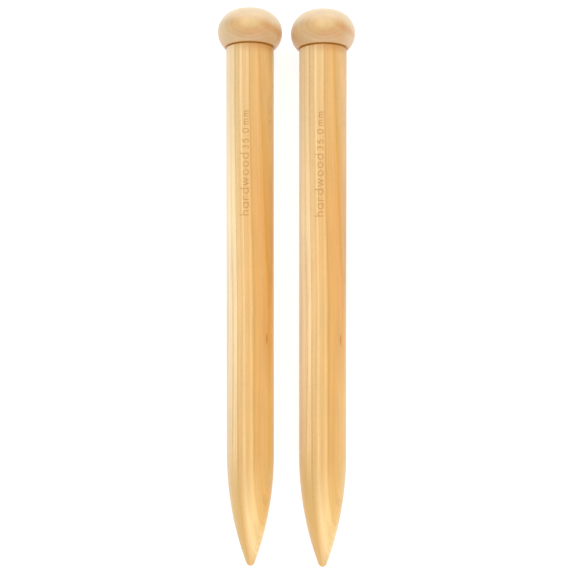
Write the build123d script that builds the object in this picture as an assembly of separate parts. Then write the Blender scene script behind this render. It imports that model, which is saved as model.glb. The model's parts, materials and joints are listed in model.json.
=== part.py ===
from build123d import *
import os
from math import asin, atan2, cos, degrees, hypot, radians, sin, sqrt, tan

# A pair of jumbo straight knitting needles in turned hardwood, lying side by side on a table.
# Each needle is a round shaft with a long rounded point, a turned mushroom knob that stops the
# stitches, and a fluted dowel pin that is glued into a blind bore in each of them and joins them.
#
# Units are millimetres. +Y runs from the points to the knobs, +X to the right and +Z up. The
# origin is on the table, under the centre of the pair.
#
# A needle is drawn in its own frame first: its axis is Y, the joint between shaft and knob is at
# Y = 0, the knob is above it and the point below. Its knob is wider than its shaft, so on the
# table it rests on the knob's rim and on the start of its taper, tipped by just over a degree.

# Shaft
GAUGE = 35.0                # shaft diameter, the needle's size
SHAFT_LENGTH = 384.0        # joint to point
TAPER_RADIUS = 236.0        # side arc of the point, tangent to the straight stretch
TIP_RADIUS = 3.3            # ball at the very end
SHAFT_EDGE = 0.7            # rounding of the end that meets the knob

# Knob
KNOB_DIAMETER = 47.4
KNOB_HEIGHT = 27.4
KNOB_WIDEST = 11.0          # from its base to its widest ring
UNDER_RADIUS = 14.8         # arc below the widest ring
SIDE_RADIUS = 15.8          # arc above the widest ring, up to the flatter crown
KNOB_EDGE = 0.5             # rounding of the base

# Dowel pin, and the blind bores that it is glued into
PIN_DIAMETER = 12.0
PIN_LENGTH = 40.0
PIN_CHAMFER = 1.2
FLUTES = 20
FLUTE_RADIUS = 0.45
GLUE_GAP = 0.05             # between pin and bore, on the radius
BORE_SPARE = 1.0            # depth past each end of the pin
DRILL_POINT_ANGLE = 118.0

# Engraved size mark. It reads towards the knob, with the tops of its letters to the left.
MARK = [("hardwood", 3.7), ("35.0", 3.3), ("mm", 3.0)]  # words, with the height of an o in each
LETTER_GAP = 2.2
WORD_GAP = 3.2
PEN_WIDTH = 0.6
MARK_DEPTH = 0.4
MARK_END = 49.5             # from the joint to the last letter
MARK_TURN = 11.7            # degrees round the shaft, from its top to the left
MARK_BASELINE = -3.0        # from the mark's centre line down to the foot of its letters

# The pair
SPACING = 53.7              # axis to axis
STAGGER = 0.8               # how much further towards its point the right needle lies

# Derived sizes
SHAFT_R = GAUGE / 2
KNOB_R = KNOB_DIAMETER / 2
PIN_R = PIN_DIAMETER / 2
BORE_R = PIN_R + GLUE_GAP
BORE_DEPTH = PIN_LENGTH / 2 + BORE_SPARE

# The point's side arc has its centre level with the end of the straight stretch, and holds the
# tip's ball inside it.
TAPER_REACH = sqrt((TAPER_RADIUS - TIP_RADIUS) ** 2 - (TAPER_RADIUS - SHAFT_R) ** 2)
TAPER_START = TAPER_REACH + TIP_RADIUS - SHAFT_LENGTH
TAPER_ANGLE = degrees(asin(TAPER_REACH / (TAPER_RADIUS - TIP_RADIUS)))

# The crown's arc has its centre on the axis, passes the top, and holds the side arc inside it.
SIDE_CENTRE = KNOB_R - SIDE_RADIUS
CROWN_RISE = KNOB_HEIGHT - KNOB_WIDEST
CROWN_RADIUS = (CROWN_RISE**2 + SIDE_CENTRE**2 - SIDE_RADIUS**2) / (2 * (CROWN_RISE - SIDE_RADIUS))
SIDE_ANGLE = degrees(atan2(CROWN_RADIUS - CROWN_RISE, SIDE_CENTRE))
UNDER_ANGLE = degrees(asin(KNOB_WIDEST / UNDER_RADIUS))

# One letter is a width and its strokes, in units of the height of an o, with the baseline at 0.
# A stroke is a line through two points, an arc (centre, radius, start angle, sweep), a ring or a
# dot.
ASCENDER = 1.62
DIGIT = 1.3
BOWL = ("ring", (0.5, 0.5), 0.5)
STEM = ("line", (0, 0), (0, 1))
LETTERS = {
    "h": (0.8, [("line", (0, 0), (0, ASCENDER)), ("arc", (0.4, 0.6), 0.4, 0, 180),
                ("line", (0.8, 0), (0.8, 0.6))]),
    "a": (1.0, [BOWL, ("line", (1, 0), (1, 1))]),
    "r": (0.6, [STEM, ("arc", (0.4, 0.6), 0.4, 55, 125)]),
    "d": (1.0, [BOWL, ("line", (1, 0), (1, ASCENDER))]),
    "w": (1.4, [("line", (0, 1), (0.35, 0)), ("line", (0.35, 0), (0.7, 1)),
                ("line", (0.7, 1), (1.05, 0)), ("line", (1.05, 0), (1.4, 1))]),
    "o": (1.0, [BOWL]),
    "m": (1.2, [STEM, ("arc", (0.3, 0.7), 0.3, 0, 180), ("line", (0.6, 0), (0.6, 0.7)),
                ("arc", (0.9, 0.7), 0.3, 0, 180), ("line", (1.2, 0), (1.2, 0.7))]),
    "3": (0.7, [("arc", (0.35, 0.99), 0.31, -90, 235), ("arc", (0.35, 0.34), 0.34, -145, 235)]),
    "5": (0.75, [("line", (0.68, DIGIT), (0.16, DIGIT)), ("line", (0.16, DIGIT), (0.1, 0.7)),
                 ("arc", (0.35, 0.4), 0.39, -145, 275)]),
    "0": (0.8, [("arc", (0.4, 0.9), 0.4, 0, 180), ("line", (0, 0.4), (0, 0.9)),
                ("arc", (0.4, 0.4), 0.4, 180, 180), ("line", (0.8, 0.4), (0.8, 0.9))]),
    ".": (0.1, [("dot", (0.05, 0.05))]),
}


def turned(*lines):
    """The solid that a half section, bounded by these lines, makes round the needle's axis."""
    return revolve(make_face(lines), Axis.Y)


def end_edge(solid, radius):
    """Rounds the rim of a turned solid where it meets the joint at Y = 0."""
    rim = solid.edges().filter_by(GeomType.CIRCLE).filter_by(lambda edge: abs(edge.center().Y) < 1e-6)
    return fillet(rim, radius)


def blind_bore(toward):
    """A drilled hole from the joint, up into the knob (toward = 1) or down into the shaft (-1)."""
    drill_point = BORE_R / tan(radians(DRILL_POINT_ANGLE / 2))
    end = toward * BORE_DEPTH
    profile = Polyline((0, 0), (BORE_R, 0), (BORE_R, end), (0, end + toward * drill_point), close=True)
    return turned(profile)


def stroke(size, kind, start, *rest):
    """One pen stroke of a letter of this size, with round ends."""
    x, y = (size * value for value in start)
    if kind == "dot":
        return Pos(x, y) * Circle(PEN_WIDTH / 2)
    if kind == "ring":
        radius = size * rest[0]
        return Pos(x, y) * (Circle(radius + PEN_WIDTH / 2) - Circle(radius - PEN_WIDTH / 2))
    if kind == "line":
        path = Line((x, y), (size * rest[0][0], size * rest[0][1]))
    else:
        radius, start_angle, sweep = rest
        path = CenterArc((x, y), size * radius, start_angle, sweep)
    return SlotArc(path, PEN_WIDTH)


def mark_sketch():
    """The engraved words, with the foot of the last letter at the origin."""
    strokes = []
    cursor = 0.0
    for word, size in MARK:
        for letter in word:
            width, parts = LETTERS[letter]
            strokes += [Pos(cursor, 0) * stroke(size, *part) for part in parts]
            cursor += width * size + LETTER_GAP
        cursor += WORD_GAP - LETTER_GAP
    return Pos(WORD_GAP - cursor, 0) * (Sketch() + strokes)


def mark_cut():
    """The solid that the engraving takes out of the shaft, all of it the same depth."""
    face = Plane(origin=(0, 0, 0), x_dir=(0, 1, 0), z_dir=(0, 0, 1))
    words = face * Pos(-MARK_END, MARK_BASELINE) * mark_sketch()
    prism = extrude(words, GAUGE)
    core = Rot(90, 0, 0) * Cylinder(SHAFT_R - MARK_DEPTH, 2 * SHAFT_LENGTH)
    return Rot(0, -MARK_TURN, 0) * (prism - core)


def make_shaft():
    """The straight shaft with its point, the bore for the dowel pin and the engraved size."""
    side = JernArc((SHAFT_R, TAPER_START), (0, -1), TAPER_RADIUS, -TAPER_ANGLE)
    ball = JernArc(side @ 1, side % 1, TIP_RADIUS, TAPER_ANGLE - 90)
    end = Polyline(ball @ 1, (0, 0), (SHAFT_R, 0), (SHAFT_R, TAPER_START))
    shaft = end_edge(turned(side, ball, end), SHAFT_EDGE)
    return shaft - blind_bore(-1) - mark_cut()


def make_knob():
    """The mushroom knob with its blind bore."""
    widest = (KNOB_R, KNOB_WIDEST)
    under = JernArc(widest, (0, -1), UNDER_RADIUS, -UNDER_ANGLE)
    side = JernArc(widest, (0, 1), SIDE_RADIUS, SIDE_ANGLE)
    crown = JernArc(side @ 1, side % 1, CROWN_RADIUS, 90 - SIDE_ANGLE)
    middle = Polyline(crown @ 1, (0, 0), under @ 1)
    knob = end_edge(turned(under, side, crown, middle), KNOB_EDGE)
    return knob - blind_bore(1)


def make_dowel_pin():
    """The fluted pin, chamfered at both ends, half in the shaft and half in the knob."""
    pin = Cylinder(PIN_R, PIN_LENGTH)
    pin = chamfer(pin.edges().filter_by(GeomType.CIRCLE), PIN_CHAMFER)
    pin -= PolarLocations(PIN_R, FLUTES) * Cylinder(FLUTE_RADIUS, PIN_LENGTH)
    return Rot(90, 0, 0) * pin


def resting_place():
    """How a needle lies on the table: turned about X, lifted, and centred along Y.

    It touches the table with the knob's under arc and with the taper's side arc. Both arcs have
    their lowest points on one line, and that line's slope is the angle.
    """
    run = KNOB_WIDEST - TAPER_START
    rise = (KNOB_R - UNDER_RADIUS) - (SHAFT_R - TAPER_RADIUS)
    tilt = atan2(rise, run) + asin((UNDER_RADIUS - TAPER_RADIUS) / hypot(run, rise))
    lift = UNDER_RADIUS + (KNOB_R - UNDER_RADIUS) * cos(tilt) - KNOB_WIDEST * sin(tilt)
    front = (TIP_RADIUS - SHAFT_LENGTH) * cos(tilt) - TIP_RADIUS
    back = (KNOB_HEIGHT - CROWN_RADIUS) * cos(tilt) + CROWN_RADIUS
    return Pos(0, -(front + back) / 2, lift) * Rot(degrees(tilt), 0, 0)


def main():
    os.makedirs("parts", exist_ok=True)
    pieces = {"shaft": make_shaft(), "knob": make_knob(), "dowel_pin": make_dowel_pin()}
    rest = resting_place()
    for name, side in (("left", -1), ("right", 1)):
        place = Pos(side * SPACING / 2, -side * STAGGER / 2, 0) * rest
        for piece, shape in pieces.items():
            export_step(place * shape, f"parts/{name}_{piece}.step")


main()
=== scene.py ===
import json
from math import acos, asin, atan2, cos, degrees, pi, radians, sin, sqrt, tan

import bpy
import numpy as np
from mathutils import Matrix, Vector


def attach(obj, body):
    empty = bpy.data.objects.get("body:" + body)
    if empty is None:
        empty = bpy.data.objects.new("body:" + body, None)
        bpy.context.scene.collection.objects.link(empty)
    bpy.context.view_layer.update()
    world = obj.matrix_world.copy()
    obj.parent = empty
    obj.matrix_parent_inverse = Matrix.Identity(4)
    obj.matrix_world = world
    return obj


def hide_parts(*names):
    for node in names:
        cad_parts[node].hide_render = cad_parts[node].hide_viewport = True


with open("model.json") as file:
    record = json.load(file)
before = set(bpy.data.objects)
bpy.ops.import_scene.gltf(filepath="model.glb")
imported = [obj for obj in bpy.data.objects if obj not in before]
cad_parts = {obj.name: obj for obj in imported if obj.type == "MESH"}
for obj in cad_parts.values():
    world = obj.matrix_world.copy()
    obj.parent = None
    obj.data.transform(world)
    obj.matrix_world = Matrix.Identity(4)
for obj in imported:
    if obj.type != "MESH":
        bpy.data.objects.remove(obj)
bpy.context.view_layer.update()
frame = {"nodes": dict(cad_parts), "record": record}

# Two jumbo knitting needles in lacquered hardwood, lying side by side on a white table.
#
# Each shaft and knob is turned again here from the same driving sizes as the CAD part, with a
# finer mesh, a soft-edged burnt mark and the slight unevenness of hand sanding. The dowel pins stay
# as CAD nodes. A needle is worked out in its own frame, in millimetres: its axis is Y, the joint
# between shaft and knob is at Y = 0, the knob is above it and the point below. Its place in the
# row frame comes from its gauge mount.

MM = 0.001

# Shaft, as in the CAD part
SHAFT_R = 17.5
SHAFT_LENGTH = 384.0
TAPER_RADIUS = 236.0
TIP_RADIUS = 3.3
SHAFT_EDGE = 0.7

# Knob, as in the CAD part
KNOB_R = 23.7
KNOB_HEIGHT = 27.4
KNOB_WIDEST = 11.0
UNDER_RADIUS = 14.8
SIDE_RADIUS = 15.8
KNOB_EDGE = 0.5

# Blind bores for the dowel pin
BORE_R = 6.05
BORE_DEPTH = 21.0
DRILL_POINT_ANGLE = 118.0

# Size mark, which reads towards the knob with the tops of its letters to the left
MARK = [("hardwood", 3.7), ("35.0", 3.3), ("mm", 3.0)]  # words, with the height of an o in each
LETTER_GAP = 2.2
WORD_GAP = 3.2
PEN_WIDTH = 0.6
MARK_DEPTH = 0.4
MARK_END = 49.5
MARK_TURN = radians(11.7)
MARK_BASELINE = -3.0
MARK_HALF = 4.5             # half its width, with some room
MARK_ROOM = 2.0             # room past its ends

# Derived sizes
TAPER_REACH = sqrt((TAPER_RADIUS - TIP_RADIUS) ** 2 - (TAPER_RADIUS - SHAFT_R) ** 2)
TAPER_START = TAPER_REACH + TIP_RADIUS - SHAFT_LENGTH
TAPER_ANGLE = degrees(asin(TAPER_REACH / (TAPER_RADIUS - TIP_RADIUS)))
SIDE_CENTRE = KNOB_R - SIDE_RADIUS
CROWN_RISE = KNOB_HEIGHT - KNOB_WIDEST
CROWN_RADIUS = (CROWN_RISE**2 + SIDE_CENTRE**2 - SIDE_RADIUS**2) / (2 * (CROWN_RISE - SIDE_RADIUS))
SIDE_ANGLE = degrees(atan2(SIDE_CENTRE, CROWN_RADIUS - CROWN_RISE))

# Fineness of the meshes
COARSE_TURN = 5.0           # degrees between a shaft's lines
COARSE_STEP = 4.0           # between its rings
FINE_STEP = 0.16            # between lines and between rings at the mark
KNOB_LINES = 120
SHARP = radians(60)         # edges sharper than this are shaded as edges
FAR = 9.0                   # farther from a stroke than any burn reaches
SANDING = 0.03              # how far the sanded wood strays from a true cylinder

# Camera, in metres, with its lens in millimetres
CAMERA_PLACE = (0.0, 0.003, 0.630)
CAMERA_LENS = 51.7
CAMERA_SENSOR = 36.0

# Light: 1 is as bright as the picture can show
SKY_LOW = 0.45              # at the horizon
SKY_HIGH = 0.95             # overhead
FLOOR_WHITE = 0.4           # how much of its light the floor gives back
FLOOR_GLOW = 0.73           # how much it gives off
FLOOR_HALF = 30.0           # metres
KEY_LIGHT = ((0.0, 1.00, 0.80), (1.7, 1.3), 10.0)       # place and size in metres, and watts
FILL_LIGHT = ((0.25, -1.10, 0.80), (1.6, 1.2), 7.0)

# Letters of the mark: a width and strokes, in units of the height of an o, with the baseline at 0
ASCENDER = 1.62
DIGIT = 1.3
BOWL = ("ring", (0.5, 0.5), 0.5)
STEM = ("line", (0, 0), (0, 1))
LETTERS = {
    "h": (0.8, [("line", (0, 0), (0, ASCENDER)), ("arc", (0.4, 0.6), 0.4, 0, 180),
                ("line", (0.8, 0), (0.8, 0.6))]),
    "a": (1.0, [BOWL, ("line", (1, 0), (1, 1))]),
    "r": (0.6, [STEM, ("arc", (0.4, 0.6), 0.4, 55, 125)]),
    "d": (1.0, [BOWL, ("line", (1, 0), (1, ASCENDER))]),
    "w": (1.4, [("line", (0, 1), (0.35, 0)), ("line", (0.35, 0), (0.7, 1)),
                ("line", (0.7, 1), (1.05, 0)), ("line", (1.05, 0), (1.4, 1))]),
    "o": (1.0, [BOWL]),
    "m": (1.2, [STEM, ("arc", (0.3, 0.7), 0.3, 0, 180), ("line", (0.6, 0), (0.6, 0.7)),
                ("arc", (0.9, 0.7), 0.3, 0, 180), ("line", (1.2, 0), (1.2, 0.7))]),
    "3": (0.7, [("arc", (0.35, 0.99), 0.31, -90, 235), ("arc", (0.35, 0.34), 0.34, -145, 235)]),
    "5": (0.75, [("line", (0.68, DIGIT), (0.16, DIGIT)), ("line", (0.16, DIGIT), (0.1, 0.7)),
                 ("arc", (0.35, 0.4), 0.39, -145, 275)]),
    "0": (0.8, [("arc", (0.4, 0.9), 0.4, 0, 180), ("line", (0, 0.4), (0, 0.9)),
                ("arc", (0.4, 0.4), 0.4, 180, 180), ("line", (0.8, 0.4), (0.8, 0.9))]),
    ".": (0.1, [("dot", (0.05, 0.05))]),
}


# ---------------------------------------------------------------- the size mark

def stroke_distance(points, kind, start, *rest):
    """How far points lie from one stroke of a letter."""
    away = points - np.array(start)
    if kind == "dot":
        return np.hypot(*away.T)
    if kind == "ring":
        return abs(np.hypot(*away.T) - rest[0])
    if kind == "line":
        along = np.subtract(rest[0], start)
        share = np.clip(away @ along / (along @ along), 0, 1)
        return np.hypot(*(away - share[:, None] * along).T)
    radius, begin, sweep = rest
    turn = (np.degrees(np.arctan2(away[:, 1], away[:, 0])) - begin) % 360
    ends = [radians(begin), radians(begin + sweep)]
    to_ends = [np.hypot(*(away - radius * np.array([cos(end), sin(end)])).T) for end in ends]
    return np.where(turn <= sweep, abs(np.hypot(*away.T) - radius), np.minimum(*to_ends))


def mark_letters():
    """The mark's letters, each with its size and its start, and the length of the mark."""
    letters = []
    cursor = 0.0
    for word, size in MARK:
        for letter in word:
            letters.append((letter, size, cursor))
            cursor += LETTERS[letter][0] * size + LETTER_GAP
        cursor += WORD_GAP - LETTER_GAP
    return letters, cursor - WORD_GAP


def mark_distance(y, across):
    """How far points on the shaft lie from the nearest stroke of the mark, in millimetres."""
    letters, length = mark_letters()
    points = np.column_stack([y + MARK_END + length, -across - MARK_BASELINE])
    nearest = np.full(len(points), FAR)
    for letter, size, start in letters:
        for stroke in LETTERS[letter][1]:
            nearest = np.minimum(nearest, size * stroke_distance((points - (start, 0)) / size, *stroke))
    return nearest


def smooth_step(value, low, high):
    """0 where value is low, 1 where it is high, and smooth between them."""
    share = np.clip((value - low) / (high - low), 0, 1)
    return share * share * (3 - 2 * share)


# ---------------------------------------------------------------- turned meshes

def arc(centre, radius, start, end, steps):
    """Points (y, r) along an arc of the half section, without its first. 0 degrees is up the axis
    and 90 is outwards."""
    turns = np.radians(np.linspace(start, end, steps + 1)[1:])
    return [(centre[0] + radius * cos(t), centre[1] + radius * sin(t)) for t in turns]


def span(start, end, step):
    """Evenly spaced values from start to end, without the first."""
    return list(np.linspace(start, end, max(2, round(abs(end - start) / step) + 1))[1:])


def bore_section(toward):
    """The blind bore's half section, from its bottom to its mouth."""
    drill_point = BORE_R / tan(radians(DRILL_POINT_ANGLE / 2))
    bottom = toward * BORE_DEPTH
    return [(bottom + toward * drill_point, 0.0), (bottom, BORE_R), (0.0, BORE_R)]


def mark_stretch():
    """Where the mark begins and ends along the shaft, with some room."""
    return MARK_ROOM - MARK_END, -MARK_END - mark_letters()[1] - MARK_ROOM


def shaft_section():
    """The shaft's half section, from the bottom of its bore round its end and along to its point."""
    mark_top, mark_bottom = mark_stretch()
    rows = bore_section(-1)
    rows += [(0.0, r) for r in span(BORE_R, SHAFT_R - SHAFT_EDGE, COARSE_STEP)]
    rows += arc((-SHAFT_EDGE, SHAFT_R - SHAFT_EDGE), SHAFT_EDGE, 0, 90, 8)
    rows += [(y, SHAFT_R) for y in span(-SHAFT_EDGE, mark_top, COARSE_STEP)]
    rows += [(y, SHAFT_R) for y in span(mark_top, mark_bottom, FINE_STEP)]
    rows += [(y, SHAFT_R) for y in span(mark_bottom, TAPER_START, COARSE_STEP)]
    rows += arc((TAPER_START, SHAFT_R - TAPER_RADIUS), TAPER_RADIUS, 90, 90 + TAPER_ANGLE, 40)
    rows += arc((TIP_RADIUS - SHAFT_LENGTH, 0), TIP_RADIUS, 90 + TAPER_ANGLE, 180, 10)
    return rows


def knob_section():
    """The knob's half section, from the bottom of its bore round its base and up to its crown."""
    under_centre = (KNOB_WIDEST, KNOB_R - UNDER_RADIUS)
    base_turn = degrees(acos((KNOB_EDGE - KNOB_WIDEST) / (UNDER_RADIUS - KNOB_EDGE)))
    edge_r = under_centre[1] + (UNDER_RADIUS - KNOB_EDGE) * sin(radians(base_turn))
    rows = bore_section(1)
    rows += [(0.0, r) for r in span(BORE_R, edge_r, COARSE_STEP)]
    rows += arc((KNOB_EDGE, edge_r), KNOB_EDGE, 180, base_turn, 6)
    rows += arc(under_centre, UNDER_RADIUS, base_turn, 90, 18)
    rows += arc((KNOB_WIDEST, SIDE_CENTRE), SIDE_RADIUS, 90, SIDE_ANGLE, 26)
    rows += arc((KNOB_HEIGHT - CROWN_RADIUS, 0), CROWN_RADIUS, SIDE_ANGLE, 0, 12)
    return rows


def turned(rows, turns):
    """Vertices, as radius, turn and y, and faces of a closed solid with rows as its half section.
    The first and last rows are single points on the axis. Turn is from +Z towards +X."""
    count = len(turns)
    ring_y, ring_r = np.array(rows[1:-1]).T
    y = np.concatenate([[rows[0][0]], np.repeat(ring_y, count), [rows[-1][0]]])
    r = np.concatenate([[0], np.repeat(ring_r, count), [0]])
    turn = np.concatenate([[0], np.tile(turns, len(ring_y)), [0]])
    last = len(y) - 1
    faces = [(0, 1 + i, 1 + (i + 1) % count) for i in range(count)]
    for ring in range(len(ring_y) - 1):
        low = 1 + ring * count
        faces += [(low + i, low + count + i, low + count + (i + 1) % count, low + (i + 1) % count)
                  for i in range(count)]
    low = last - count
    faces += [(low + i, last, low + (i + 1) % count) for i in range(count)]
    return r, turn, y, faces


def shaft_turns():
    """Angles of the shaft's lines, close together at the mark."""
    half = MARK_HALF / SHAFT_R
    fine = np.arange(-half, half, FINE_STEP / SHAFT_R) - MARK_TURN
    rest = np.linspace(fine[-1], fine[0] + 2 * pi, round((360 - degrees(2 * half)) / COARSE_TURN) + 1)
    return np.concatenate([fine, rest[1:-1]])


def placing(side):
    """The matrix from a needle's own frame to the row frame, and millimetres to metres."""
    mount = next(m for m in frame["record"]["mounts"] if m["name"] == side + "_shaft_gauge")
    up = -Vector(mount["axis"])
    joint = Vector(mount["pos_m"]) + up * (mount["dims"]["length_mm"] / 2 + SHAFT_EDGE) * MM
    return Matrix.Translation(joint) @ Matrix.Rotation(atan2(up.z, up.y), 4, "X") @ Matrix.Scale(MM, 4)


def new_piece(name, side, points, faces, burn=None):
    """A mesh object in the row frame. Its grain attribute keeps the points of the needle's own
    frame, which its wood follows, and its burn attribute says how burnt the wood is."""
    mesh = bpy.data.meshes.new(name)
    mesh.from_pydata(points.tolist(), [], faces)
    mesh.attributes.new("grain", "FLOAT_VECTOR", "POINT").data.foreach_set("vector", points.ravel())
    if burn is not None:
        mesh.attributes.new("burn", "FLOAT", "POINT").data.foreach_set("value", burn)
    mesh.shade_smooth()
    mesh.set_sharp_from_angle(angle=SHARP)
    mesh.transform(placing(side))
    piece = bpy.data.objects.new(name, mesh)
    bpy.context.collection.objects.link(piece)
    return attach(piece, side + "_needle")


def make_shaft(side, wood):
    """The turned shaft, with its mark and the waves that sanding leaves."""
    r, turn, y, faces = turned(shaft_section(), shaft_turns())
    outside = (r > BORE_R + 0.1) & (y < -SHAFT_EDGE)
    mark_top, mark_bottom = mark_stretch()
    across = SHAFT_R * np.sin(turn + MARK_TURN)
    near = outside & (y > mark_bottom) & (y < mark_top)
    near &= (abs(across) < MARK_HALF) & (np.cos(turn + MARK_TURN) > 0)
    away = np.full(len(r), FAR)
    away[near] = mark_distance(y[near], across[near])
    burn = 1 - smooth_step(away, 0.3 * PEN_WIDTH, 0.75 * PEN_WIDTH)
    waves = np.sin(y / 17 + 2 * np.sin(turn)) * np.sin(y / 41 + 2 * turn)
    r = r + outside * SANDING * waves * (r / SHAFT_R) - MARK_DEPTH * burn
    points = np.column_stack([r * np.sin(turn), y, r * np.cos(turn)])
    piece = new_piece(side + "_turned_shaft", side, points, faces, burn)
    piece.data.materials.append(wood)
    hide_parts(side + "_shaft")
    return piece


def make_knob(side, wood):
    """The turned knob."""
    turns = np.linspace(0, 2 * pi, KNOB_LINES, endpoint=False)
    r, turn, y, faces = turned(knob_section(), turns)
    points = np.column_stack([r * np.sin(turn), y, r * np.cos(turn)])
    faces = [face[::-1] for face in faces]
    piece = new_piece(side + "_turned_knob", side, points, faces)
    piece.data.materials.append(wood)
    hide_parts(side + "_knob")
    return piece


# ---------------------------------------------------------------- materials

def screen(red, green, blue):
    """A colour as a screen shows it, 0 to 255, in the linear values that shaders take."""
    values = [value / 255 for value in (red, green, blue)]
    return [v / 12.92 if v <= 0.04045 else ((v + 0.055) / 1.055) ** 2.4 for v in values] + [1.0]


class Finish:
    """A material's node tree, with short names for the nodes that the woods are made of. Each
    call adds a node and gives its output."""

    def __init__(self, name):
        self.material = bpy.data.materials.new(name)
        self.material.use_nodes = True
        self.tree = self.material.node_tree
        self.shader = self.tree.nodes["Principled BSDF"]

    def add(self, kind, inputs, output=0, **settings):
        """Any node. Its inputs are values, or sockets to link."""
        node = self.tree.nodes.new("ShaderNode" + kind)
        for name, value in settings.items():
            setattr(node, name, value)
        for name, value in inputs.items():
            if isinstance(value, bpy.types.NodeSocket):
                self.tree.links.new(value, node.inputs[name])
            else:
                node.inputs[name].default_value = value
        return node.outputs[output]

    def sums(self, operation, *values):
        return self.add("Math", dict(enumerate(values)), operation=operation)

    def vector(self, operation, *values, output=0):
        return self.add("VectorMath", dict(enumerate(values)), output, operation=operation)

    def dot(self, place, direction):
        return self.vector("DOT_PRODUCT", place, direction, output="Value")

    def step(self, value, low, high, start=0.0, end=1.0):
        """Smoothly from start, where value is low, to end, where it is high."""
        inputs = {"Value": value, "From Min": low, "From Max": high, "To Min": start, "To Max": end}
        return self.add("MapRange", inputs, interpolation_type="SMOOTHSTEP")

    def ease(self, value, low, high, end):
        """In a straight line from 0, where value is low, to end, where it is high."""
        inputs = {"Value": value, "From Min": low, "From Max": high, "To Max": end}
        return self.add("MapRange", inputs)

    def spot(self, place, centre, reach, turn=(0, 0, 0)):
        """1 in the middle of an ellipsoid, and 0 outside it."""
        inputs = {"Vector": place, "Location": centre, "Rotation": turn, "Scale": reach}
        inside = self.add("Mapping", inputs, vector_type="TEXTURE")
        return self.step(self.vector("LENGTH", inside, output="Value"), 0.3, 1.0, 1.0, 0.0)

    def noise(self, vector, size, detail):
        """Noise from 0 to 1, mostly near 0.5, whose blobs have this size along each axis."""
        scaled = self.vector("MULTIPLY", vector, [1 / length for length in size])
        return self.add("TexNoise", {"Vector": scaled, "Scale": 1.0, "Detail": detail})

    def mix(self, share, first, second, blend="MIX"):
        inputs = {0: share, 6: first, 7: second}
        return self.add("Mix", inputs, output=2, data_type="RGBA", blend_type=blend)

    def tint(self, share, colour, red, green, blue):
        """Multiplies a colour, by this share."""
        return self.mix(share, colour, (red, green, blue, 1), "MULTIPLY")

    def ramp(self, value, stops):
        """Colours by value: stops are pairs of a value and a colour."""
        low, high = stops[0][0], stops[-1][0]
        share = self.ease(value, low, high, 1.0)
        output = self.add("ValToRGB", {0: share})
        elements = output.node.color_ramp.elements
        elements[0].position, elements[0].color = 0.0, stops[0][1]
        elements[1].position, elements[1].color = 1.0, stops[-1][1]
        for place, colour in stops[1:-1]:
            elements.new((place - low) / (high - low)).color = colour
        return output

    def finish(self, colour, roughness, height, coat, gloss):
        """Sets the shader. Height is in millimetres, coat is a value or a socket, and gloss is the
        roughness of the coat."""
        bump = self.add("Bump", {"Height": height, "Strength": 1.0, "Distance": MM})
        self.tree.links.new(colour, self.shader.inputs["Base Color"])
        self.tree.links.new(roughness, self.shader.inputs["Roughness"])
        self.tree.links.new(bump, self.shader.inputs["Normal"])
        if isinstance(coat, bpy.types.NodeSocket):
            self.tree.links.new(coat, self.shader.inputs["Coat Weight"])
        else:
            self.shader.inputs["Coat Weight"].default_value = coat
        self.shader.inputs["Coat Roughness"].default_value = gloss
        return self.material


# Places on the wood are in the needle's own frame, in millimetres. The shaft's growth rings are
# flat and lean to the right. Each has a place, across the rings from the needle's axis, and a
# colour: pale sapwood on the left, golden wood on the right.
SHAFT_RINGS = [
    (-20.0, screen(231, 190, 130)),
    (-17.0, screen(226, 184, 124)),
    (-14.5, screen(233, 195, 138)),
    (-12.0, screen(234, 199, 145)),
    (-10.5, screen(233, 205, 160)),
    (-9.5, screen(233, 208, 167)),
    (-7.0, screen(245, 215, 168)),
    (-5.0, screen(243, 210, 160)),
    (-4.0, screen(235, 202, 151)),
    (-2.5, screen(240, 207, 156)),
    (0.3, screen(244, 208, 153)),
    (0.8, screen(221, 182, 123)),
    (1.4, screen(217, 177, 116)),
    (2.2, screen(231, 189, 127)),
    (4.6, screen(223, 179, 115)),
    (5.6, screen(230, 186, 122)),
    (6.2, screen(247, 203, 140)),
    (7.0, screen(224, 178, 111)),
    (9.4, screen(222, 174, 104)),
    (10.5, screen(232, 184, 113)),
    (11.6, screen(224, 174, 101)),
    (12.2, screen(204, 149, 68)),
    (12.8, screen(217, 162, 83)),
    (16.6, screen(224, 167, 92)),
    (17.4, screen(226, 163, 77)),
    (17.9, screen(211, 153, 68)),
    (18.5, screen(216, 162, 84)),
    (20.0, screen(223, 171, 99)),
]
ACROSS_RINGS = (0.842, 0, 0.539)
IN_RINGS = (-0.539, 0, 0.842)
RING_RISE = 2.3             # how far the rings climb, over this stretch of the shaft
RISE_STRETCH = (-189, -40)
RING_BEND = 0.16            # how much the golden ones bend, over this stretch
BEND_STRETCH = (-60, 0)

# Towards the point the rings are fainter
POINT_RINGS = [
    (-8.0, screen(240, 208, 160)),
    (2.0, screen(231, 190, 129)),
    (7.0, screen(227, 182, 116)),
    (10.5, screen(228, 180, 109)),
    (12.8, screen(219, 166, 88)),
    (20.0, screen(219, 163, 84)),
]
POINT_MIX = 0.7             # their share at the point

# How the pale wood and the golden wood change along the shaft, from the point to the knob
# The pale wood's tones are partly painted light: brightest about half way along the shaft, darker
# towards both ends
PALE_TONES = [
    (-340.0, (0.87, 0.77, 0.48, 1)),
    (-290.0, (0.90, 0.86, 0.75, 1)),
    (-230.0, (0.99, 1.00, 1.00, 1)),
    (-165.0, (1.04, 1.08, 1.14, 1)),
    (-125.0, (1.08, 1.17, 1.26, 1)),
    (-75.0, (1.02, 1.09, 1.16, 1)),
    (-35.0, (0.93, 0.97, 1.00, 1)),
]
GOLDEN_TONES = [
    (-345.0, (1.12, 1.27, 1.40, 1)),
    (-300.0, (0.99, 1.01, 0.98, 1)),
    (-115.0, (0.99, 0.99, 1.00, 1)),
    (-75.0, (0.97, 1.02, 1.08, 1)),
    (-40.0, (0.96, 1.04, 1.20, 1)),
]

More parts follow.
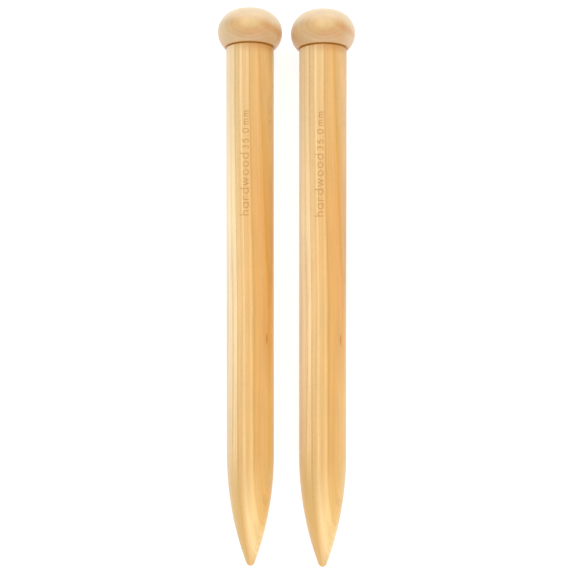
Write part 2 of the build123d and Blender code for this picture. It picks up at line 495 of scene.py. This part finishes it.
# Stains on the shaft: place, reach, strength and colour
FLECK = ((12.5, -213.7, 12.3), (1.1, 6.0, 1.8), 0.9, screen(200, 126, 18))
SPECK = ((14.9, -55.6, 9.1), (1.7, 1.9, 2.8), 0.25, screen(168, 128, 56))
BURN = 0.42                 # strength of the mark's colour
BURNT_WOOD = screen(174, 113, 20)
# Painted shade on the shaft just below the seam, where the knob shades it
PAINTED_SEAM_SHADE = screen(198, 132, 52)
# The seam line on the shaft: dark glue in the joint, with painted shade in its groove
SHAFT_SEAM_GLUE_AND_SHADE = screen(178, 119, 24)

# The knob's growth rings are round, about a pith below it: depth under the outermost one, and colour
KNOB_RINGS = [
    (0.0, screen(211, 173, 111)),
    (0.7, screen(206, 162, 101)),
    (1.2, screen(206, 164, 104)),
    (2.0, screen(204, 163, 108)),
    (2.6, screen(211, 172, 120)),
    (3.4, screen(206, 169, 119)),
    (4.2, screen(213, 180, 132)),
    (9.0, screen(214, 179, 132)),
    (16.0, screen(206, 166, 116)),
    (50.0, screen(206, 165, 114)),
]
KNOB_PITH = 27.0            # under the knob's axis
KNOB_LEAN = radians(5)      # of its rings towards the crown

# Parts of the knob, by place and reach: a painted highlight, painted shade on its lower front, and a
# streak that slants
KNOB_PAINTED_HIGHLIGHT = ((14, 19.5, 13), (15, 9, 18))
KNOB_PAINTED_SHADE = ((6, 3.8, 19), (18, 6.5, 15))
KNOB_STREAK = ((16.5, 9.6, 17), (12, 3.6, 30), (0, 0, radians(-15)))
STREAK_WOOD = screen(203, 134, 62)
# A painted pale sheen on the crown, where it faces the light
CROWN_PAINTED_SHEEN = screen(214, 188, 150)
# The seam line on the knob: dark glue in the joint, with painted shade in its groove
KNOB_SEAM_GLUE_AND_SHADE = screen(196, 138, 56)

# Beech for the dowel pins, with its rings in a direction of their own
BEECH_DARK = screen(196, 150, 108)
BEECH_LIGHT = screen(218, 178, 132)
ACROSS_BEECH = (0.6, 0, 0.8)
IN_BEECH = (-0.8, 0, 0.6)

# Lacquer
SHAFT_COAT = 0.6
KNOB_COAT = 0.9
COAT_ROUGHNESS = 0.35


def read_place(wood):
    """The point's place in the needle's own frame, and its X, Y and Z."""
    place = wood.add("Attribute", {}, attribute_name="grain", output="Vector")
    return place, *wood.add("SeparateXYZ", {0: place}).node.outputs


def waver(wood, place, ring, sways):
    """Moves growth rings out of line: sways are pairs of how far, and over which length."""
    for sway, length in sways:
        wave = wood.noise(place, (length, 3 * length, length), 1.0)
        ring = wood.sums("MULTIPLY_ADD", wood.sums("SUBTRACT", wave, 0.5), sway, ring)
    return ring


def sawn_detail(wood, rings, colour, contrast, streaky):
    """Adds fibres, streaks, blotches, pores and rays to a colour. Gives it, and the bump's height."""
    fibres = wood.noise(rings, (0.35, 45, 3), 3.0)
    streaks = wood.noise(rings, (0.8, 130, 12), 2.0)
    blotches = wood.noise(rings, (9, 30, 9), 3.0)
    pores = wood.step(wood.noise(rings, (0.14, 1.9, 0.14), 0.0), 0.62, 0.76)
    rays = wood.step(wood.noise(rings, (2.4, 2.2, 0.35), 0.0), 0.62, 0.76)
    shade = wood.sums("MULTIPLY_ADD", wood.sums("SUBTRACT", streaks, 0.5), streaky, 1.0)
    for layer, depth in ((fibres, 0.20), (blotches, 0.14)):
        shade = wood.sums("MULTIPLY_ADD", wood.sums("SUBTRACT", layer, 0.5), depth * contrast, shade)
    for layer, depth in ((pores, 0.09), (rays, 0.04)):
        shade = wood.sums("MULTIPLY_ADD", layer, -depth * contrast, shade)
    colour = wood.add("VectorMath", {0: colour, "Scale": shade}, operation="SCALE")
    warmth = wood.step(wood.noise(rings, (6, 60, 10), 2.0), 0.35, 0.65, 0.0, contrast)
    height = wood.sums("MULTIPLY_ADD", pores, -0.03, wood.sums("MULTIPLY", fibres, 0.03))
    return wood.tint(warmth, colour, 1.015, 0.99, 0.96), height


def shaft_ring(wood, place, x, along):
    """The place across the shaft's growth rings, which rise and bend a little near the knob."""
    rise = wood.ease(along, *RISE_STRETCH, RING_RISE)
    ring = wood.sums("ADD", wood.dot(place, ACROSS_RINGS), rise)
    bend = wood.ease(along, *BEND_STRETCH, RING_BEND)
    ring = wood.sums("MULTIPLY_ADD", bend, wood.sums("MAXIMUM", x, 0.0), ring)
    return waver(wood, place, ring, ((0.6, 60), (0.4, 9)))


def shaft_colour(wood, ring, along):
    """The colour of the shaft's growth rings, which changes along it."""
    colour = wood.ramp(ring, SHAFT_RINGS)
    to_point = wood.step(along, -290, -325, 0.0, POINT_MIX)
    colour = wood.mix(to_point, colour, wood.ramp(ring, POINT_RINGS))
    golden = wood.step(ring, 0, 8)
    # the pale wood's tones are partly painted light, brightest half way along
    tone = wood.mix(golden, wood.ramp(along, PALE_TONES), wood.ramp(along, GOLDEN_TONES))
    return wood.mix(1.0, colour, tone, "MULTIPLY")


def shaft_streaks(wood, ring, along):
    """How strong the fine streaks are: most in the pale wood, half way along."""
    middle = wood.sums("MULTIPLY", wood.step(along, -90, -170), wood.step(along, -330, -270))
    streaky = wood.sums("MULTIPLY", middle, wood.step(ring, 7, 1))
    return wood.sums("MULTIPLY_ADD", streaky, 0.65, 0.30)


def tint_sides(wood, colour, ring, x, along, z):
    """The outermost rings are paler and the wood low on the left is warmer; painted shade makes both
    sides darker.
    """
    outermost = wood.sums("MULTIPLY", wood.step(along, -260, -200, 1, 0), wood.step(ring, 15.5, 17.3))
    colour = wood.tint(outermost, colour, 1.03, 1.19, 1.55)
    low = wood.sums("MULTIPLY", wood.step(z, 8, 3), wood.step(ring, 0, -6))
    colour = wood.tint(low, colour, 1.02, 0.96, 0.84)
    # painted shade on the left side, nearer the knob
    left = wood.sums("MULTIPLY", wood.step(x, -14.6, -17.0), wood.step(along, -220, -120))
    colour = wood.tint(left, colour, 0.93, 0.95, 0.95)
    # painted shade on the right side
    return wood.tint(wood.step(x, 14.6, 17.0), colour, 0.91, 0.93, 0.90)


def stain_and_shade_shaft(wood, colour, place, x, along):
    """Adds the fleck, the speck, the burnt mark, and painted shade on the shaft just below the seam."""
    for centre, reach, strength, stain in (FLECK, SPECK):
        share = wood.sums("MULTIPLY", wood.spot(place, centre, reach), strength)
        colour = wood.mix(share, colour, stain)
    burn = wood.add("Attribute", {}, attribute_name="burn", output="Fac")
    colour = wood.mix(wood.sums("MULTIPLY", burn, BURN), colour, BURNT_WOOD)
    # painted shade just below the seam, in the middle and on the right
    shade = wood.sums("MULTIPLY", wood.step(along, -8.0, -1.5, 0.0, 0.6), wood.step(x, -14, 2))
    return wood.mix(shade, colour, PAINTED_SEAM_SHADE)


def shaft_material():
    wood = Finish("lacquered_shaft")
    place, x, along, z = read_place(wood)
    ring = shaft_ring(wood, place, x, along)
    rings = wood.add("CombineXYZ", {"X": ring, "Y": along, "Z": wood.dot(place, IN_RINGS)})
    colour = shaft_colour(wood, ring, along)
    colour, height = sawn_detail(wood, rings, colour, 1.0, shaft_streaks(wood, ring, along))
    colour = tint_sides(wood, colour, ring, x, along, z)
    colour = stain_and_shade_shaft(wood, colour, place, x, along)
    # the seam line: dark glue with painted shade in the groove, and a thinner coat
    seam = wood.step(along, -1.1, -0.6)
    colour = wood.mix(seam, colour, SHAFT_SEAM_GLUE_AND_SHADE)
    coat = wood.sums("MULTIPLY_ADD", seam, -SHAFT_COAT, SHAFT_COAT)
    return wood.finish(colour, wood.step(ring, -10, 18, 0.5, 0.44), height, coat, COAT_ROUGHNESS)


def knob_ring(wood, place, x):
    """The depth under the outermost of the knob's growth rings."""
    rise = wood.sums("ADD", wood.dot(place, (0, sin(KNOB_LEAN), cos(KNOB_LEAN))), KNOB_PITH)
    radius = wood.vector("LENGTH", wood.add("CombineXYZ", {"X": x, "Z": rise}), output="Value")
    outermost = KNOB_PITH + SIDE_RADIUS + SIDE_CENTRE * cos(KNOB_LEAN) + KNOB_WIDEST * sin(KNOB_LEAN)
    return waver(wood, place, wood.sums("SUBTRACT", outermost, radius), ((2.2, 14), (0.5, 5)))


def knob_colour(wood, ring, place, x, along):
    """The colour of the knob's growth rings, with a painted highlight, painted shade, and a painted
    pale sheen on its crown.
    """
    colour = wood.ramp(ring, KNOB_RINGS)
    # painted highlight on the upper right of the knob
    colour = wood.tint(wood.spot(place, *KNOB_PAINTED_HIGHLIGHT), colour, 1.09, 1.17, 1.27)
    # painted shade on the upper left of the knob
    left = wood.sums("MULTIPLY", wood.step(x, -2, -16), wood.step(along, 9, 16))
    colour = wood.tint(left, colour, 0.85, 0.88, 0.89)
    # painted shade on the lower front of the knob
    colour = wood.tint(wood.spot(place, *KNOB_PAINTED_SHADE), colour, 0.97, 0.85, 0.75)
    streak = wood.sums("MULTIPLY", wood.spot(place, *KNOB_STREAK), 0.5)
    colour = wood.mix(streak, colour, STREAK_WOOD)
    # painted pale sheen on the crown, where it faces the light
    return wood.mix(wood.step(along, 12.5, 20.0, 0.0, 0.9), colour, CROWN_PAINTED_SHEEN)


def knob_material():
    wood = Finish("lacquered_knob")
    place, x, along, _ = read_place(wood)
    ring = knob_ring(wood, place, x)
    rings = wood.add("CombineXYZ", {"X": ring, "Y": along, "Z": x})
    colour = knob_colour(wood, ring, place, x, along)
    colour, height = sawn_detail(wood, rings, colour, 0.7, 0.21)
    # the seam line: dark glue with painted shade in the groove
    colour = wood.mix(wood.step(along, 0.4, 0.1), colour, KNOB_SEAM_GLUE_AND_SHADE)
    return wood.finish(colour, wood.step(along, 0, 25, 0.46, 0.5), height, KNOB_COAT, COAT_ROUGHNESS)


def dowel_material():
    wood = Finish("bare_beech")
    place = wood.add("TexCoord", {}, output="Object")
    place = wood.vector("MULTIPLY", place, (1 / MM, 1 / MM, 1 / MM))
    along = wood.add("SeparateXYZ", {0: place}, output="Y")
    ring = waver(wood, place, wood.dot(place, ACROSS_BEECH), ((0.5, 20),))
    rings = wood.add("CombineXYZ", {"X": ring, "Y": along, "Z": wood.dot(place, IN_BEECH)})
    bands = wood.step(wood.noise(rings, (1.1, 60, 20), 1.0), 0.35, 0.65)
    colour = wood.mix(bands, BEECH_DARK, BEECH_LIGHT)
    colour, height = sawn_detail(wood, rings, colour, 1.5, 0.45)
    return wood.finish(colour, wood.step(bands, 0, 1, 0.62, 0.7), height, coat=0.0, gloss=0.5)


# ---------------------------------------------------------------- camera, floor and light

def make_camera():
    """It looks straight down at the pair, with the knobs at the top of the picture."""
    camera = bpy.data.objects.new("camera", bpy.data.cameras.new("camera"))
    camera.data.sensor_width = CAMERA_SENSOR
    camera.data.lens = CAMERA_LENS
    camera.location = CAMERA_PLACE
    bpy.context.collection.objects.link(camera)
    bpy.context.scene.camera = camera


def make_floor():
    """A wide white table. It glows a little, so that it stays white between the needles."""
    mesh = bpy.data.meshes.new("floor")
    corners = [(-FLOOR_HALF, -FLOOR_HALF, 0), (FLOOR_HALF, -FLOOR_HALF, 0),
               (FLOOR_HALF, FLOOR_HALF, 0), (-FLOOR_HALF, FLOOR_HALF, 0)]
    mesh.from_pydata(corners, [], [(0, 1, 2, 3)])
    floor = bpy.data.objects.new("floor", mesh)
    bpy.context.collection.objects.link(floor)
    white = Finish("white_table")
    white.shader.inputs["Base Color"].default_value = (FLOOR_WHITE, FLOOR_WHITE, FLOOR_WHITE, 1)
    white.shader.inputs["Roughness"].default_value = 0.9
    white.shader.inputs["Specular IOR Level"].default_value = 0.0
    white.shader.inputs["Emission Color"].default_value = (1, 1, 1, 1)
    white.shader.inputs["Emission Strength"].default_value = FLOOR_GLOW
    mesh.materials.append(white.material)


def make_softbox(name, place, size, power):
    """A rectangular light that faces the pair."""
    lamp = bpy.data.lights.new(name, "AREA")
    lamp.shape = "RECTANGLE"
    lamp.size, lamp.size_y = size
    lamp.energy = power
    light = bpy.data.objects.new(name, lamp)
    light.location = place
    light.rotation_euler = (-Vector(place)).to_track_quat("-Z", "Y").to_euler()
    bpy.context.collection.objects.link(light)


def make_sky():
    """Soft light from all round, brighter from above than from the sides."""
    sky = bpy.data.worlds.new("studio")
    sky.use_nodes = True
    nodes, links = sky.node_tree.nodes, sky.node_tree.links
    direction = nodes.new("ShaderNodeTexCoord").outputs["Generated"]
    parts = nodes.new("ShaderNodeSeparateXYZ")
    strength = nodes.new("ShaderNodeMapRange")
    strength.inputs["To Min"].default_value = SKY_LOW
    strength.inputs["To Max"].default_value = SKY_HIGH
    links.new(direction, parts.inputs[0])
    links.new(parts.outputs["Z"], strength.inputs["Value"])
    links.new(strength.outputs[0], nodes["Background"].inputs["Strength"])
    nodes["Background"].inputs["Color"].default_value = (1, 1, 1, 1)
    bpy.context.scene.world = sky


def main():
    make_camera()
    make_sky()
    make_floor()
    make_softbox("key", *KEY_LIGHT)
    make_softbox("fill", *FILL_LIGHT)
    woods = shaft_material(), knob_material(), dowel_material()
    for side in ("left", "right"):
        make_shaft(side, woods[0])
        make_knob(side, woods[1])
        pin = frame["nodes"][side + "_dowel_pin"]
        pin.data.materials.clear()
        pin.data.materials.append(woods[2])
    bpy.context.scene.view_settings.view_transform = "Standard"


main()
